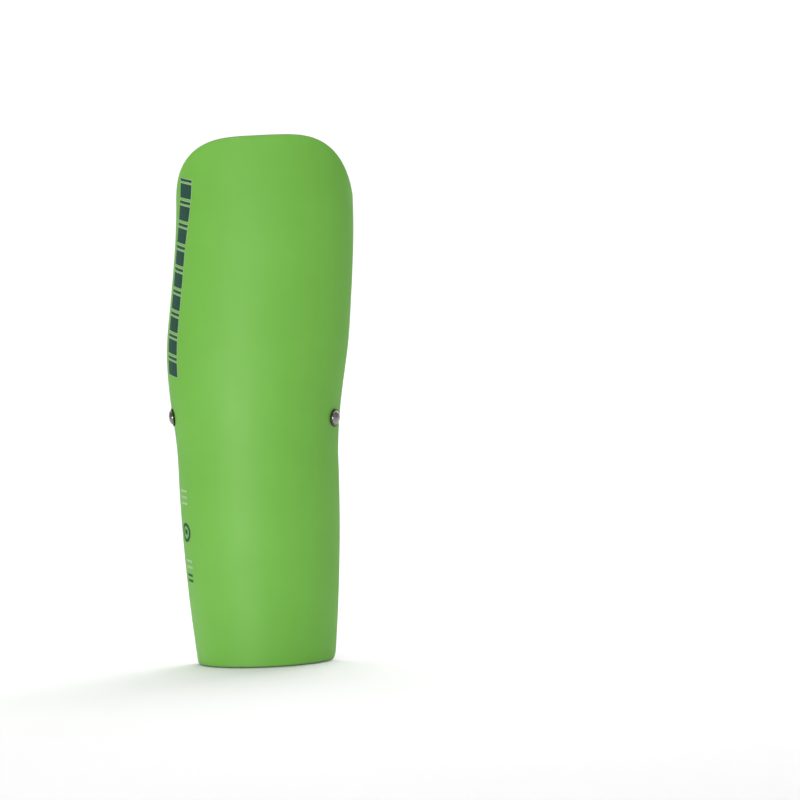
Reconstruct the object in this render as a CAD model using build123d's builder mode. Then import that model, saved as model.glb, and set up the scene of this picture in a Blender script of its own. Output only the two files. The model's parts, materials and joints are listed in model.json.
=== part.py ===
"""Ski-race shin guard for the right leg, standing upright on the shell's bottom edge.

Frame: +Z runs up the shin, -Y faces forward, +X is the inner (medial) side of the leg.
A moulded shell wraps the shin. A hook-held foam liner sits inside it. A webbing strap,
riveted to both side walls, closes round the calf with hook and pile.
"""
from build123d import *
import math
import os

# Shell: horizontal sections are egg-shaped, two half ellipses that meet at the widest plane
HEIGHT = 380.0
WALL = 3.0
WIDEST_Y = 5.5
EDGE_TURN = 83.0
CALF_DEPTH = 38.0
BOTTOM_CENTRE_X = -6.9
CENTRE_SHIFT = 12.4
SHIFT_FROM_Z = 180.0
SHIFT_LENGTH = 160.0
BOTTOM_HALF_WIDTH = 51.0
ANKLE_FLARE = 8.7
ANKLE_FLARE_TOP = 150.0
CALF_FLARE = 8.1
CALF_FLARE_FROM_Z = 145.0
CALF_FLARE_LENGTH = 95.0
TOP_TAPER = 1.7
TOP_TAPER_FROM_Z = 245.0
TOP_TAPER_LENGTH = 75.0
END_DEPTH = 47.0
MID_DEPTH = 54.0
MID_DEPTH_Z = 190.0
STATIONS = range(-20, 401, 20)
BOTTOM_CORNER_RADIUS = 6.0
BEYOND = 100.0

# Rounded top corners: start of the curve across the section, its height, its squareness
LATERAL = -1
MEDIAL = 1
CORNER_START_X = {LATERAL: 8.0, MEDIAL: 18.0}
CORNER_BASE_Z = {LATERAL: 324.0, MEDIAL: 317.5}
CORNER_POWER = {LATERAL: 2.65, MEDIAL: 3.15}
CORNER_STEPS = 8
STRAIGHT_BELOW_CORNER = 60.0

# Liner layers, measured inwards from the shell's outer face
HOOK_OUT, HOOK_IN = 3.05, 5.15
BACKING_OUT, BACKING_IN = 5.2, 6.0
CORE_OUT, CORE_IN = 6.05, 13.25
LINING_OUT, LINING_IN = 13.3, 14.1
BINDING_MARGIN = 2.5
BINDING_WIDTH = 1.6
BINDING_GAP = 0.05
HOOK_DISC_RADIUS = 16.0
HOOK_DISC_TURN = 38.0
HOOK_DISC_HEIGHTS = (70.0, 190.0, 310.0)

# Rivets
RIVET_TURN = 72.2
RIVET_HEIGHT = {LATERAL: 180.9, MEDIAL: 175.9}
CAP_RADIUS = 6.6
CAP_HEIGHT = 3.2
CAP_RIM = 0.7
CAP_SEAT = 0.1
CAP_SHOULDER = (0.62 * CAP_RADIUS, 0.8 * CAP_HEIGHT)
CAP_BORE_END = -0.5
PIN_END = -1.0
DRILL_LEAD_IN = 4.0
STEM_RADIUS = 2.5
PIN_RADIUS = 1.45
BORE_RADIUS = 1.5
HOLE_RADIUS = 2.65
WASHER_RADIUS = 7.0
WASHER_OUT, WASHER_IN = 5.2, 6.0
FLANGE_RADIUS = 5.5
FLANGE_OUT, FLANGE_IN = 6.1, 7.1
POCKET_RADIUS = 8.5
POCKET_DEPTH = 8.2

# Strap: webbing in a plane that tips down to the medial side
STRAP_TIP = 2.4
STRAP_HALF_WIDTH = 19.0
WEBBING = 1.6
TAB_OUT = 3.05
TAB_FRONT = 9.0
TAB_PIVOT_RADIUS = 27.0
PIVOT_GAP = 0.5
HINGE_GAP = 0.6
BAND_STEPS = 6
PULL_CORNER_RADIUS = 6.0
CLOSURE_GAP = 0.3
GLUE_GAP = 0.05
LEAD_END = 28.0
SHORT_END = 72.0
TAIL_START = 84.0
TAIL_END = 139.0
PULL_END = 150.0
PILE_RANGE = (88.0, 148.0)
HOOK_RANGE = (90.0, 136.0)
PATCH_INSET = 2.0
PILE_THICKNESS = 1.0
PATCH_THICKNESS = 1.0
LIFT_PILE = WEBBING / 2 + GLUE_GAP
LIFT_HOOK = LIFT_PILE + PILE_THICKNESS + CLOSURE_GAP
LIFT_TAIL = LIFT_HOOK + PATCH_THICKNESS + GLUE_GAP


def smooth(u):
    """Ease from 0 to 1 with level ends."""
    u = min(max(u, 0.0), 1.0)
    return u * u * (3 - 2 * u)


def centre_x(z):
    """Centre line of the section, which leans to the medial side above the ankle."""
    return BOTTOM_CENTRE_X + CENTRE_SHIFT * smooth((z - SHIFT_FROM_Z) / SHIFT_LENGTH)


def edge_half_width(z):
    """Half width of the shell at its rear edges."""
    ankle = 1 - (1 - min(z, ANKLE_FLARE_TOP) / ANKLE_FLARE_TOP) ** 2
    calf = smooth((z - CALF_FLARE_FROM_Z) / CALF_FLARE_LENGTH)
    taper = max(0.0, z - TOP_TAPER_FROM_Z) / TOP_TAPER_LENGTH
    return BOTTOM_HALF_WIDTH + ANKLE_FLARE * ankle + CALF_FLARE * calf - TOP_TAPER * taper


def half_width(z):
    """Half width of the section at its widest plane."""
    return edge_half_width(z) / math.sin(math.radians(EDGE_TURN))


def front_depth(z):
    """Depth from the widest plane to the shin ridge, deepest at mid height."""
    span = MID_DEPTH_Z if z < MID_DEPTH_Z else HEIGHT - MID_DEPTH_Z
    return MID_DEPTH - (MID_DEPTH - END_DEPTH) * ((z - MID_DEPTH_Z) / span) ** 2


def wall_point(side, turn, z, inset=0.0):
    """Point on the wall, turned away from the shin ridge towards one side."""
    angle = math.radians(turn)
    x = centre_x(z) + side * (half_width(z) - inset) * math.sin(angle)
    y = WIDEST_Y - (front_depth(z) - inset) * math.cos(angle)
    return Vector(x, y, z)


def wall_normal(side, turn, z):
    """Outward normal of the wall."""
    round_wall = wall_point(side, turn + 0.5, z) - wall_point(side, turn - 0.5, z)
    up_wall = wall_point(side, turn, z + 1) - wall_point(side, turn, z - 1)
    return round_wall.cross(up_wall).normalized() * side


def wall_form(inset):
    """Solid egg-section form whose face lies this far inside the shell's outer face."""
    with BuildPart() as form:
        for z in STATIONS:
            width = half_width(z) - inset
            with BuildSketch(Plane.XY.offset(z)):
                with BuildLine():
                    centre = (centre_x(z), WIDEST_Y)
                    EllipticalCenterArc(centre, width, front_depth(z) - inset, 180, arc_size=180)
                    EllipticalCenterArc(centre, width, CALF_DEPTH - inset + TAB_OUT, 0, arc_size=180)
                make_face()
        loft()
    return form.part


def corner_outline(side, inset, margin):
    """Top corner in side view: a superellipse of the front view, wrapped on the wall."""
    base_z = CORNER_BASE_Z[side]
    start_x = CORNER_START_X[side]
    reach = edge_half_width(base_z) - start_x
    rise = HEIGHT - margin - base_z
    points = []
    for step in range(CORNER_STEPS + 1):
        angle = math.radians(90 * step / CORNER_STEPS)
        z = base_z + rise * math.sin(angle) ** (2 / CORNER_POWER[side])
        x = start_x + reach * math.cos(angle) ** (2 / CORNER_POWER[side])
        turn = math.degrees(math.asin(x / half_width(z)))
        y = wall_point(side, turn, z, inset).Y
        points.append((y - margin * math.cos(angle), z))
    return points


def rim_blank(inset, margin):
    """Solid holding all that lies inside the shell's rim, or a margin inside that rim."""
    rear_y = wall_point(MEDIAL, EDGE_TURN, CORNER_BASE_Z[MEDIAL] / 2, inset).Y - margin
    radius = BOTTOM_CORNER_RADIUS
    with BuildPart() as blank:
        for side in (LATERAL, MEDIAL):
            corner = corner_outline(side, inset, margin)
            with BuildSketch(Plane.YZ):
                with BuildLine():
                    bottom = Line((-BEYOND, margin), (rear_y - radius, margin))
                    curve = RadiusArc(bottom @ 1, (rear_y, margin + radius), -radius)
                    rear = Line(curve @ 1, (rear_y, CORNER_BASE_Z[side] - STRAIGHT_BELOW_CORNER))
                    rim = Spline(rear @ 1, *corner, tangents=((0, 1), (-1, 0)))
                    Polyline(rim @ 1, (-BEYOND, HEIGHT - margin), bottom @ 0)
                make_face()
            extrude(amount=side * BEYOND)
    return blank.part


def wall_layer(outer, inner, blank):
    """One layer of the wall between two insets, trimmed to a rim blank."""
    with BuildPart() as layer:
        add(wall_form(outer))
        add(wall_form(inner), mode=Mode.SUBTRACT)
        add(blank, mode=Mode.INTERSECT)
    return layer.part


def rivet_plane(side):
    """Plane through a rivet's axis: origin on the outer face, local Y pointing outwards."""
    height = RIVET_HEIGHT[side]
    normal = wall_normal(side, RIVET_TURN, height)
    across = Vector(0, 0, 1).cross(normal).normalized()
    return Plane(wall_point(side, RIVET_TURN, height), x_dir=across, z_dir=across.cross(normal))


def rivet_drill(side, radius, depth):
    """Round cutter along a rivet's axis, from outside the wall to a depth."""
    axis_plane = rivet_plane(side)
    start = Plane(axis_plane.origin + axis_plane.y_dir * DRILL_LEAD_IN, z_dir=-axis_plane.y_dir)
    with BuildPart() as drill:
        with BuildSketch(start):
            Circle(radius)
        extrude(amount=DRILL_LEAD_IN + depth)
    return drill.part


# Strap frame: origin midway between the rivets, local Z square to the strap's plane
tip = math.radians(STRAP_TIP)
rivet_y = wall_point(MEDIAL, RIVET_TURN, RIVET_HEIGHT[MEDIAL]).Y
strap_z = (RIVET_HEIGHT[LATERAL] + RIVET_HEIGHT[MEDIAL]) / 2
strap_x = centre_x(strap_z)
strap_across = Vector(math.cos(tip), 0, -math.sin(tip))
strap_up = Vector(math.sin(tip), 0, math.cos(tip))
strap_plane = Plane((strap_x, WIDEST_Y, strap_z), x_dir=strap_across, z_dir=strap_up)
pivot_plane = Plane((strap_x, rivet_y, strap_z), x_dir=Vector(0, 1, 0), z_dir=strap_across)
loop_half_width = half_width(strap_z) - TAB_OUT - WEBBING / 2


def loop_point(turn, lift):
    """Point of the loop behind the calf, from the lateral side (0) to the medial (180)."""
    angle = math.radians(turn)
    depth = CALF_DEPTH
    normal = Vector(-depth * math.cos(angle), loop_half_width * math.sin(angle)).normalized()
    x = -loop_half_width * math.cos(angle) + lift * normal.X
    y = depth * math.sin(angle) + lift * normal.Y
    return (x, y)


def band(start, stop, bottom, top, half_height, rise=0.0):
    """Strip of webbing along the loop between two lifts, rising outwards along its run."""
    turns = [start + (stop - start) * step / BAND_STEPS for step in range(BAND_STEPS + 1)]
    rises = [rise * smooth((turn - start) / (stop - start)) for turn in turns]
    inner = [loop_point(turn, bottom + up) for turn, up in zip(turns, rises)]
    outer = [loop_point(turn, top + up) for turn, up in zip(turns, rises)]
    with BuildPart() as strip:
        with BuildSketch(strap_plane):
            with BuildLine():
                inside = Spline(*inner)
                outside = Spline(*outer)
                Line(inside @ 0, outside @ 0)
                Line(inside @ 1, outside @ 1)
            make_face()
        extrude(amount=half_height, both=True)
    return strip.part


def gap_turn(turn):
    """Turn that takes up half a hinge gap along the loop at this place."""
    angle = math.radians(turn)
    speed = math.hypot(loop_half_width * math.sin(angle), CALF_DEPTH * math.cos(angle))
    return math.degrees(HINGE_GAP / speed)


# Moulded shell with a rivet hole in each side wall
with BuildPart() as shell:
    add(wall_layer(0, WALL, rim_blank(WALL / 2, 0)))
    for side in (LATERAL, MEDIAL):
        add(rivet_drill(side, HOLE_RADIUS, WALL + 4), mode=Mode.SUBTRACT)

# Hook discs glued inside the shell, which hold the liner
with BuildPart() as shell_hook_discs:
    for side in (LATERAL, MEDIAL):
        for height in HOOK_DISC_HEIGHTS:
            centre = wall_point(side, HOOK_DISC_TURN, height)
            with BuildSketch(Plane(centre, z_dir=-wall_normal(side, HOOK_DISC_TURN, height))):
                Circle(HOOK_DISC_RADIUS)
            extrude(amount=HOOK_DISC_RADIUS)
    add(wall_form(HOOK_OUT), mode=Mode.INTERSECT)
    add(wall_form(HOOK_IN), mode=Mode.SUBTRACT)

# Liner: brushed backing, foam core, soft lining and a binding round the rim
liner_middle = (BACKING_OUT + LINING_IN) / 2
binding_blank = rim_blank(liner_middle, BINDING_MARGIN)
binding_cut = rim_blank(liner_middle, BINDING_MARGIN + BINDING_WIDTH)
liner_blank = rim_blank(liner_middle, BINDING_MARGIN + BINDING_WIDTH + BINDING_GAP)

with BuildPart() as liner_backing:
    add(wall_layer(BACKING_OUT, BACKING_IN, liner_blank))
    for side in (LATERAL, MEDIAL):
        add(rivet_drill(side, POCKET_RADIUS, POCKET_DEPTH), mode=Mode.SUBTRACT)

with BuildPart() as liner_core:
    add(wall_layer(CORE_OUT, CORE_IN, liner_blank))
    for side in (LATERAL, MEDIAL):
        add(rivet_drill(side, POCKET_RADIUS, POCKET_DEPTH), mode=Mode.SUBTRACT)

with BuildPart() as liner_lining:
    add(wall_layer(LINING_OUT, LINING_IN, liner_blank))

with BuildPart() as liner_binding:
    add(wall_layer(BACKING_OUT, LINING_IN, binding_blank))
    add(binding_cut, mode=Mode.SUBTRACT)
    for side in (LATERAL, MEDIAL):
        add(rivet_drill(side, POCKET_RADIUS, POCKET_DEPTH), mode=Mode.SUBTRACT)

# Rivets: domed cap with a hollow stem, flanged post pressed into it, washer on the webbing
with BuildPart() as rivet_caps:
    for side in (LATERAL, MEDIAL):
        plane = rivet_plane(side)
        with BuildSketch(plane):
            with BuildLine():
                dome = ThreePointArc((0, CAP_HEIGHT), CAP_SHOULDER, (CAP_RADIUS, CAP_RIM))
                Polyline(dome @ 1, (CAP_RADIUS, CAP_SEAT), (STEM_RADIUS, CAP_SEAT),
                         (STEM_RADIUS, -WASHER_IN), (BORE_RADIUS, -WASHER_IN),
                         (BORE_RADIUS, CAP_BORE_END), (0, CAP_BORE_END), dome @ 0)
            make_face()
        revolve(axis=Axis(plane.origin, plane.y_dir))

with BuildPart() as rivet_posts:
    for side in (LATERAL, MEDIAL):
        plane = rivet_plane(side)
        with BuildSketch(plane):
            with BuildLine():
                Polyline((0, PIN_END), (PIN_RADIUS, PIN_END), (PIN_RADIUS, -FLANGE_OUT),
                         (FLANGE_RADIUS, -FLANGE_OUT), (FLANGE_RADIUS, -FLANGE_IN),
                         (0, -FLANGE_IN), (0, PIN_END))
            make_face()
        revolve(axis=Axis(plane.origin, plane.y_dir))

with BuildPart() as rivet_washers:
    for side in (LATERAL, MEDIAL):
        plane = rivet_plane(side)
        with BuildSketch(plane):
            with BuildLine():
                Polyline((HOLE_RADIUS, -WASHER_OUT), (WASHER_RADIUS, -WASHER_OUT),
                         (WASHER_RADIUS, -WASHER_IN), (HOLE_RADIUS, -WASHER_IN),
                         (HOLE_RADIUS, -WASHER_OUT))
            make_face()
        revolve(axis=Axis(plane.origin, plane.y_dir))


def strap_tab(side):
    """Webbing end clamped by a rivet, cut round where the strap starts to pivot."""
    with BuildPart() as tab:
        with BuildSketch(pivot_plane):
            Circle(TAB_PIVOT_RADIUS)
            with Locations((TAB_PIVOT_RADIUS / 2 - TAB_FRONT / 2, 0)):
                Rectangle(TAB_PIVOT_RADIUS + TAB_FRONT, 2 * STRAP_HALF_WIDTH, mode=Mode.INTERSECT)
        extrude(amount=side * BEYOND)
        add(wall_form(TAB_OUT), mode=Mode.INTERSECT)
        add(wall_form(TAB_OUT + WEBBING), mode=Mode.SUBTRACT)
        add(rivet_drill(side, HOLE_RADIUS, 2 * WALL), mode=Mode.SUBTRACT)
    return tab.part


def strap_lead(side):
    """Webbing between the round pivot cut and the first fold line behind the calf."""
    end = LEAD_END - gap_turn(LEAD_END)
    if side == LATERAL:
        run = (0, end)
    else:
        run = (180 - end, 180)
    with BuildPart() as lead:
        add(band(*run, -WEBBING / 2, WEBBING / 2, STRAP_HALF_WIDTH))
        with BuildSketch(pivot_plane):
            Circle(TAB_PIVOT_RADIUS + PIVOT_GAP)
        extrude(amount=BEYOND, both=True, mode=Mode.SUBTRACT)
    return lead.part


with BuildPart() as lateral_strap_tab:
    add(strap_tab(LATERAL))

with BuildPart() as medial_strap_tab:
    add(strap_tab(MEDIAL))

with BuildPart() as lateral_lead:
    add(strap_lead(LATERAL))

with BuildPart() as medial_lead:
    add(strap_lead(MEDIAL))

# Long strap crosses behind the calf and rises over the short strap, then ends in its tail
with BuildPart() as long_strap:
    run = (LEAD_END + gap_turn(LEAD_END), TAIL_START - gap_turn(TAIL_START))
    add(band(*run, -WEBBING / 2, WEBBING / 2, STRAP_HALF_WIDTH, rise=LIFT_TAIL + WEBBING / 2))

with BuildPart() as strap_tail:
    add(band(TAIL_START + gap_turn(TAIL_START), TAIL_END, LIFT_TAIL, LIFT_TAIL + WEBBING,
             STRAP_HALF_WIDTH))

with BuildPart() as tail_hook_patch:
    add(band(*HOOK_RANGE, LIFT_HOOK, LIFT_HOOK + PATCH_THICKNESS, STRAP_HALF_WIDTH - PATCH_INSET))

with BuildPart() as pull_tab:
    add(band(TAIL_END, PULL_END, LIFT_TAIL, LIFT_TAIL + WEBBING, STRAP_HALF_WIDTH))
    short_edges = pull_tab.edges().filter_by(lambda edge: abs(edge.length - WEBBING) < 0.2)
    end_edges = short_edges.group_by(Axis(strap_plane.origin, strap_across))[-1]
    fillet(end_edges, PULL_CORNER_RADIUS)

# Short strap carries the pile that the hook patch grips
with BuildPart() as short_strap:
    start = 180 - LEAD_END - gap_turn(LEAD_END)
    add(band(SHORT_END, start, -WEBBING / 2, WEBBING / 2, STRAP_HALF_WIDTH))

with BuildPart() as short_strap_pile:
    add(band(*PILE_RANGE, LIFT_PILE, LIFT_PILE + PILE_THICKNESS, STRAP_HALF_WIDTH - PATCH_INSET))

pieces = {
    "shell": shell,
    "shell_hook_discs": shell_hook_discs,
    "liner_backing": liner_backing,
    "liner_core": liner_core,
    "liner_lining": liner_lining,
    "liner_binding": liner_binding,
    "rivet_caps": rivet_caps,
    "rivet_posts": rivet_posts,
    "rivet_washers": rivet_washers,
    "lateral_strap_tab": lateral_strap_tab,
    "medial_strap_tab": medial_strap_tab,
    "lateral_lead": lateral_lead,
    "medial_lead": medial_lead,
    "long_strap": long_strap,
    "strap_tail": strap_tail,
    "tail_hook_patch": tail_hook_patch,
    "pull_tab": pull_tab,
    "short_strap": short_strap,
    "short_strap_pile": short_strap_pile,
}

os.makedirs("parts", exist_ok=True)
for name, piece in pieces.items():
    piece.part.label = name
    export_step(piece.part, f"parts/{name}.step")
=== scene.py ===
"""Looks of the ski-race shin guard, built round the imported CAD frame."""

import json
import math

import bpy
import numpy as np
from mathutils import Matrix, Vector


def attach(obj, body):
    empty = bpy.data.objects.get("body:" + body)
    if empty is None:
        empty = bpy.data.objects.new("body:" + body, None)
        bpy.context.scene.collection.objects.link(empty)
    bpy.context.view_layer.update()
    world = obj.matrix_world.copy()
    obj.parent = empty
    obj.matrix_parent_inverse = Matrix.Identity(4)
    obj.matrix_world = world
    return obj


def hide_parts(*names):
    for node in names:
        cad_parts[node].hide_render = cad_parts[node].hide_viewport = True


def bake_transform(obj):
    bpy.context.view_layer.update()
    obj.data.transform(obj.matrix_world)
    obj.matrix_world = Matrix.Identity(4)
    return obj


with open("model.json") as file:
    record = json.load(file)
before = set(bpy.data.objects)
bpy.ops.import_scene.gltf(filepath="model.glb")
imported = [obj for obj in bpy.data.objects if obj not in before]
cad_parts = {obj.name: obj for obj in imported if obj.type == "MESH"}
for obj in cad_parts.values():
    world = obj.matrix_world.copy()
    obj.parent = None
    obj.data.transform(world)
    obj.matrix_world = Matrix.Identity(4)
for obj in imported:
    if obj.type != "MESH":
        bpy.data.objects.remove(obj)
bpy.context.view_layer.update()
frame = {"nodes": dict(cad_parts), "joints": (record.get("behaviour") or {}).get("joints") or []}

MM = 0.001
LATERAL, MEDIAL = -1, 1

# Shell form, in millimetres, as in the CAD model
HEIGHT = 380.0
WALL = 3.0
WIDEST_Y = 5.5
EDGE_TURN = 83.0
CALF_DEPTH = 38.0
BOTTOM_CENTRE_X, CENTRE_SHIFT = -6.9, 12.4
SHIFT_FROM_Z, SHIFT_LENGTH = 180.0, 160.0
BOTTOM_HALF_WIDTH = 51.0
ANKLE_FLARE, ANKLE_FLARE_TOP = 8.7, 150.0
CALF_FLARE, CALF_FLARE_FROM_Z, CALF_FLARE_LENGTH = 8.1, 145.0, 95.0
TOP_TAPER, TOP_TAPER_FROM_Z, TOP_TAPER_LENGTH = 1.7, 245.0, 75.0
END_DEPTH, MID_DEPTH, MID_DEPTH_Z = 47.0, 54.0, 190.0
BOTTOM_CORNER_RADIUS = 6.0
CORNER_START_X = {LATERAL: 8.0, MEDIAL: 18.0}
CORNER_BASE_Z = {LATERAL: 324.0, MEDIAL: 317.5}
CORNER_POWER = {LATERAL: 2.65, MEDIAL: 3.15}
RIM_RADIUS = 1.1

# Rivets and strap as in the CAD model: sizes in millimetres, places in degrees of turn
RIVET_TURN = 72.2
RIVET_HEIGHT = {LATERAL: 180.9, MEDIAL: 175.9}
STRAP_HALF_WIDTH = 19.0
WEBBING = 1.6
TAB_OUT = 3.05
LEAD_END, TAIL_START, TAIL_END, PULL_END, SHORT_END = 28.0, 84.0, 139.0, 150.0, 72.0
PILE_RANGE, HOOK_RANGE = (88.0, 148.0), (90.0, 136.0)
PATCH_THICKNESS, CLOSURE_GAP, GLUE_GAP = 1.0, 0.3, 0.05
LIFT_PILE = WEBBING / 2 + GLUE_GAP
LIFT_HOOK = LIFT_PILE + PATCH_THICKNESS + CLOSURE_GAP
LIFT_TAIL = LIFT_HOOK + PATCH_THICKNESS + GLUE_GAP

# Mesh fineness of the shell and the liner
ROW_STEP = 2.7
ROWS = int(HEIGHT / ROW_STEP)
CORNER_COLUMNS = 46
MIDDLE_COLUMNS = 13
CORNER_SAMPLES = 1500
SHARP_ANGLE = math.radians(50)


def smooth(u):
    """Ease from 0 to 1 with level ends."""
    u = np.clip(u, 0.0, 1.0)
    return u * u * (3 - 2 * u)


def centre_x(z):
    """Centre of the section, which leans to the medial side above the ankle."""
    return BOTTOM_CENTRE_X + CENTRE_SHIFT * smooth((z - SHIFT_FROM_Z) / SHIFT_LENGTH)


def edge_half_width(z):
    """Half width of the shell at its rear edges."""
    ankle = 1 - (1 - np.minimum(z, ANKLE_FLARE_TOP) / ANKLE_FLARE_TOP) ** 2
    calf = smooth((z - CALF_FLARE_FROM_Z) / CALF_FLARE_LENGTH)
    taper = np.maximum(0, z - TOP_TAPER_FROM_Z) / TOP_TAPER_LENGTH
    return BOTTOM_HALF_WIDTH + ANKLE_FLARE * ankle + CALF_FLARE * calf - TOP_TAPER * taper


def half_width(z):
    """Half width of the section at its widest plane."""
    return edge_half_width(z) / math.sin(math.radians(EDGE_TURN))


def front_depth(z):
    """Depth of the section from its widest plane to the shin ridge."""
    span = np.where(z < MID_DEPTH_Z, MID_DEPTH_Z, HEIGHT - MID_DEPTH_Z)
    return MID_DEPTH - (MID_DEPTH - END_DEPTH) * ((z - MID_DEPTH_Z) / span) ** 2


def wall_points(turn, z, inset=0.0):
    """Points on the wall for signed turns from the shin ridge, in degrees."""
    angle = np.radians(turn)
    x = centre_x(z) + (half_width(z) - inset) * np.sin(angle)
    y = WIDEST_Y - (front_depth(z) - inset) * np.cos(angle)
    return np.stack(np.broadcast_arrays(x, y, z), axis=-1)


def wall_normals(turn, z):
    """Outward unit normals of the wall."""
    turn, z = np.broadcast_arrays(np.asarray(turn, float), np.asarray(z, float))
    around = wall_points(turn + 0.2, z) - wall_points(turn - 0.2, z)
    up = wall_points(turn, z + 0.5) - wall_points(turn, z - 0.5)
    normal = np.cross(around, up)
    return normal / np.linalg.norm(normal, axis=-1, keepdims=True)


def edge_speed(z, inset=0.0):
    """Millimetres along the wall for one degree of turn near the rear edge."""
    angle = math.radians(EDGE_TURN)
    return math.radians(math.hypot((half_width(z) - inset) * math.cos(angle),
                                   (front_depth(z) - inset) * math.sin(angle)))


def corner_columns(side, inset, margin):
    """Turns and top heights along one rounded top corner, evenly spaced along the rim."""
    base = CORNER_BASE_Z[side]
    start = CORNER_START_X[side]
    power = 2 / CORNER_POWER[side]
    last_turn = EDGE_TURN - margin / edge_speed(base, inset)
    reach = half_width(base) * math.sin(math.radians(last_turn)) - start
    angle = np.linspace(0, math.pi / 2, CORNER_SAMPLES)
    z = base + (HEIGHT - margin - base) * np.sin(angle) ** power
    x = start + reach * np.cos(angle) ** power
    turn = np.degrees(np.arcsin(np.minimum(x / half_width(z), 1)))
    first = int(np.max(np.nonzero(turn >= last_turn - 0.02)[0]))
    turn, z, x = turn[first:], z[first:], x[first:]
    turn[0] = last_turn
    run = np.concatenate([[0], np.cumsum(np.hypot(np.diff(x), np.diff(z)))])
    steps = np.linspace(0, run[-1], CORNER_COLUMNS + 1)
    return np.interp(steps, run, turn), np.interp(steps, run, z)


def wall_grid(inset, margin):
    """Signed turns and heights of a sheet grid, columns by rows, trimmed to the rim."""
    left_turn, left_top = corner_columns(LATERAL, inset, margin)
    right_turn, right_top = corner_columns(MEDIAL, inset, margin)
    middle = np.linspace(-left_turn[-1], right_turn[-1], MIDDLE_COLUMNS + 2)[1:-1]
    turn = np.concatenate([-left_turn, middle, right_turn[::-1]])
    top = np.concatenate([left_top, np.full(len(middle), HEIGHT - margin), right_top[::-1]])
    last = np.where(turn < 0, left_turn[0], right_turn[0])
    radius = BOTTOM_CORNER_RADIUS
    from_edge = np.minimum((last - np.abs(turn)) * edge_speed(0.0, inset), radius)
    low = margin + radius - np.sqrt(radius ** 2 - (radius - from_edge) ** 2)
    share = np.linspace(0, 1, ROWS + 1)
    heights = low[:, None] + (top - low)[:, None] * share[None, :]
    turns = np.repeat(turn[:, None], ROWS + 1, axis=1)
    from_side = (last[:, None] - np.abs(turns)) * edge_speed(ANKLE_FLARE_TOP)
    from_rim = np.minimum.reduce([from_side, heights - low[:, None], top[:, None] - heights])
    return turns, heights, from_rim


def rim_order(columns, rows):
    """Grid places once round the rim of a sheet."""
    bottom = [(i, 0) for i in range(columns)]
    right = [(columns - 1, j) for j in range(1, rows)]
    top = [(i, rows - 1) for i in range(columns - 2, -1, -1)]
    left = [(0, j) for j in range(rows - 2, 0, -1)]
    return bottom + right + top + left


def grid_quads(index):
    """Quads of a grid of point numbers."""
    return np.stack([index[:-1, :-1], index[1:, :-1], index[1:, 1:], index[:-1, 1:]], -1).reshape(-1, 4)


def new_object(name, points, faces, material):
    """Mesh object from points in millimetres."""
    mesh = bpy.data.meshes.new(name)
    mesh.from_pydata((np.asarray(points, float) * MM).tolist(), [], faces)
    mesh.update()
    mesh.shade_smooth()
    mesh.set_sharp_from_angle(angle=SHARP_ANGLE)
    thing = bpy.data.objects.new(name, mesh)
    bpy.context.scene.collection.objects.link(thing)
    if material is not None:
        mesh.materials.append(material)
    return thing


def set_attribute(thing, name, values):
    """Vector or number stored on each point of a mesh."""
    values = np.asarray(values, np.float32)
    if values.ndim == 1:
        thing.data.attributes.new(name, "FLOAT", "POINT").data.foreach_set("value", values)
    else:
        store = thing.data.attributes.new(name, "FLOAT_VECTOR", "POINT")
        store.data.foreach_set("vector", values.ravel())


def flat_map(turns, heights):
    """Unrolled place on the wall in millimetres: along the section, height, zero."""
    run = np.radians(turns) * 0.5 * (half_width(heights) + front_depth(heights))
    return np.stack([run, heights, np.zeros_like(run)], axis=-1)


def ring_faces(first, second):
    """Quads between two closed loops of point numbers."""
    return [list(quad) for quad in zip(first, second, second[1:] + second[:1], first[1:] + first[:1])]


def closed_sheet(name, profile, material, shapes=None):
    """Closed solid between two wall sheets. profile lists (inset, margin) round the rim.
    shapes, where given, are the functions for the points of the first and the last sheet."""
    points, flats, rims, faces = [], [], [], []
    count = 0
    before = None
    for place, (inset, margin) in enumerate(profile):
        turns, heights, from_rim = wall_grid(inset, margin)
        index = np.arange(turns.size).reshape(turns.shape)
        rim = [int(index[p]) for p in rim_order(*turns.shape)]
        grid = wall_points(turns, heights, inset)
        if place in (0, len(profile) - 1):
            if shapes is not None:
                grid = shapes[place > 0](turns, heights, inset, from_rim)
            keep = index.ravel()
            quads = count + grid_quads(index)
            faces += (quads if place == 0 else quads[:, ::-1]).tolist()
            loop = [count + p for p in rim]
        else:
            keep = rim
            loop = list(range(count, count + len(rim)))
        points.append(grid.reshape(-1, 3)[keep])
        flats.append(flat_map(turns, heights).reshape(-1, 3)[keep])
        rims.append((from_rim + margin).ravel()[keep])
        count += len(keep)
        if before is not None:
            faces += ring_faces(before, loop)
        before = loop
    thing = new_object(name, np.concatenate(points), faces, material)
    set_attribute(thing, "flat", np.concatenate(flats))
    set_attribute(thing, "rim", np.concatenate(rims))
    return thing


def rounded_rim(outer, inner, margin, radius, steps=5):
    """Profile of a sheet's edge, rounded at both corners."""
    first, second = [], []
    for k in range(steps + 1):
        angle = math.radians(90 * k / steps)
        from_cos, from_sin = radius * (1 - math.cos(angle)), radius * (1 - math.sin(angle))
        first.append((outer + from_cos, margin + from_sin))
        second.append((inner - from_sin, margin + from_cos))
    return first + second


# Materials

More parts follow.
